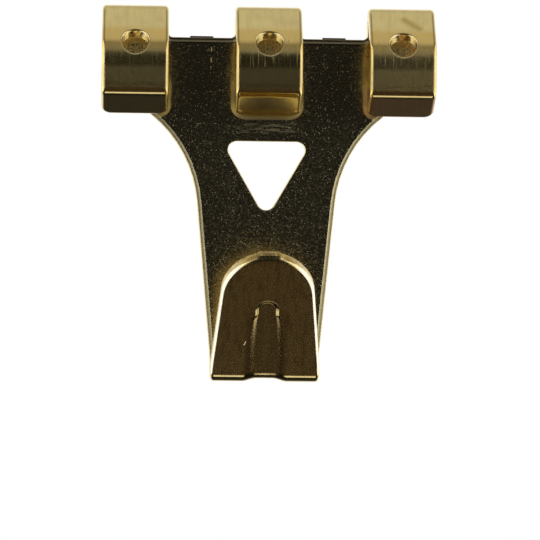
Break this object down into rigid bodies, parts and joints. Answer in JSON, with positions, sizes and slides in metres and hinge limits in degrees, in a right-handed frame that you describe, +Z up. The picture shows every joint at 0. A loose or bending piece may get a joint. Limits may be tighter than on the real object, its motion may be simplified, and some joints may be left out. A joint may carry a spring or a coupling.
{
  "type": "picture hook",
  "caption": "Flat folded picture hook with a fan-shaped back plate, nail loops along the top, a triangular window and a tapered tongue that holds picture wire.",
  "frame": {"origin": "on the wall plane, on the line of symmetry, level with the plate's top edge between the loops", "axes": "+Z up, +Y into the wall, so the hook's front faces -Y; +X to the right seen from the front"},
  "size_m": [0.0456, 0.0151, 0.0514],
  "materials": {
    "brass_plate": "bright brass plating with die marks and light tarnish"
  },
  "bodies": {
    "root": {"picture_hook": "brass_plate"}
  },
  "joints": []
}
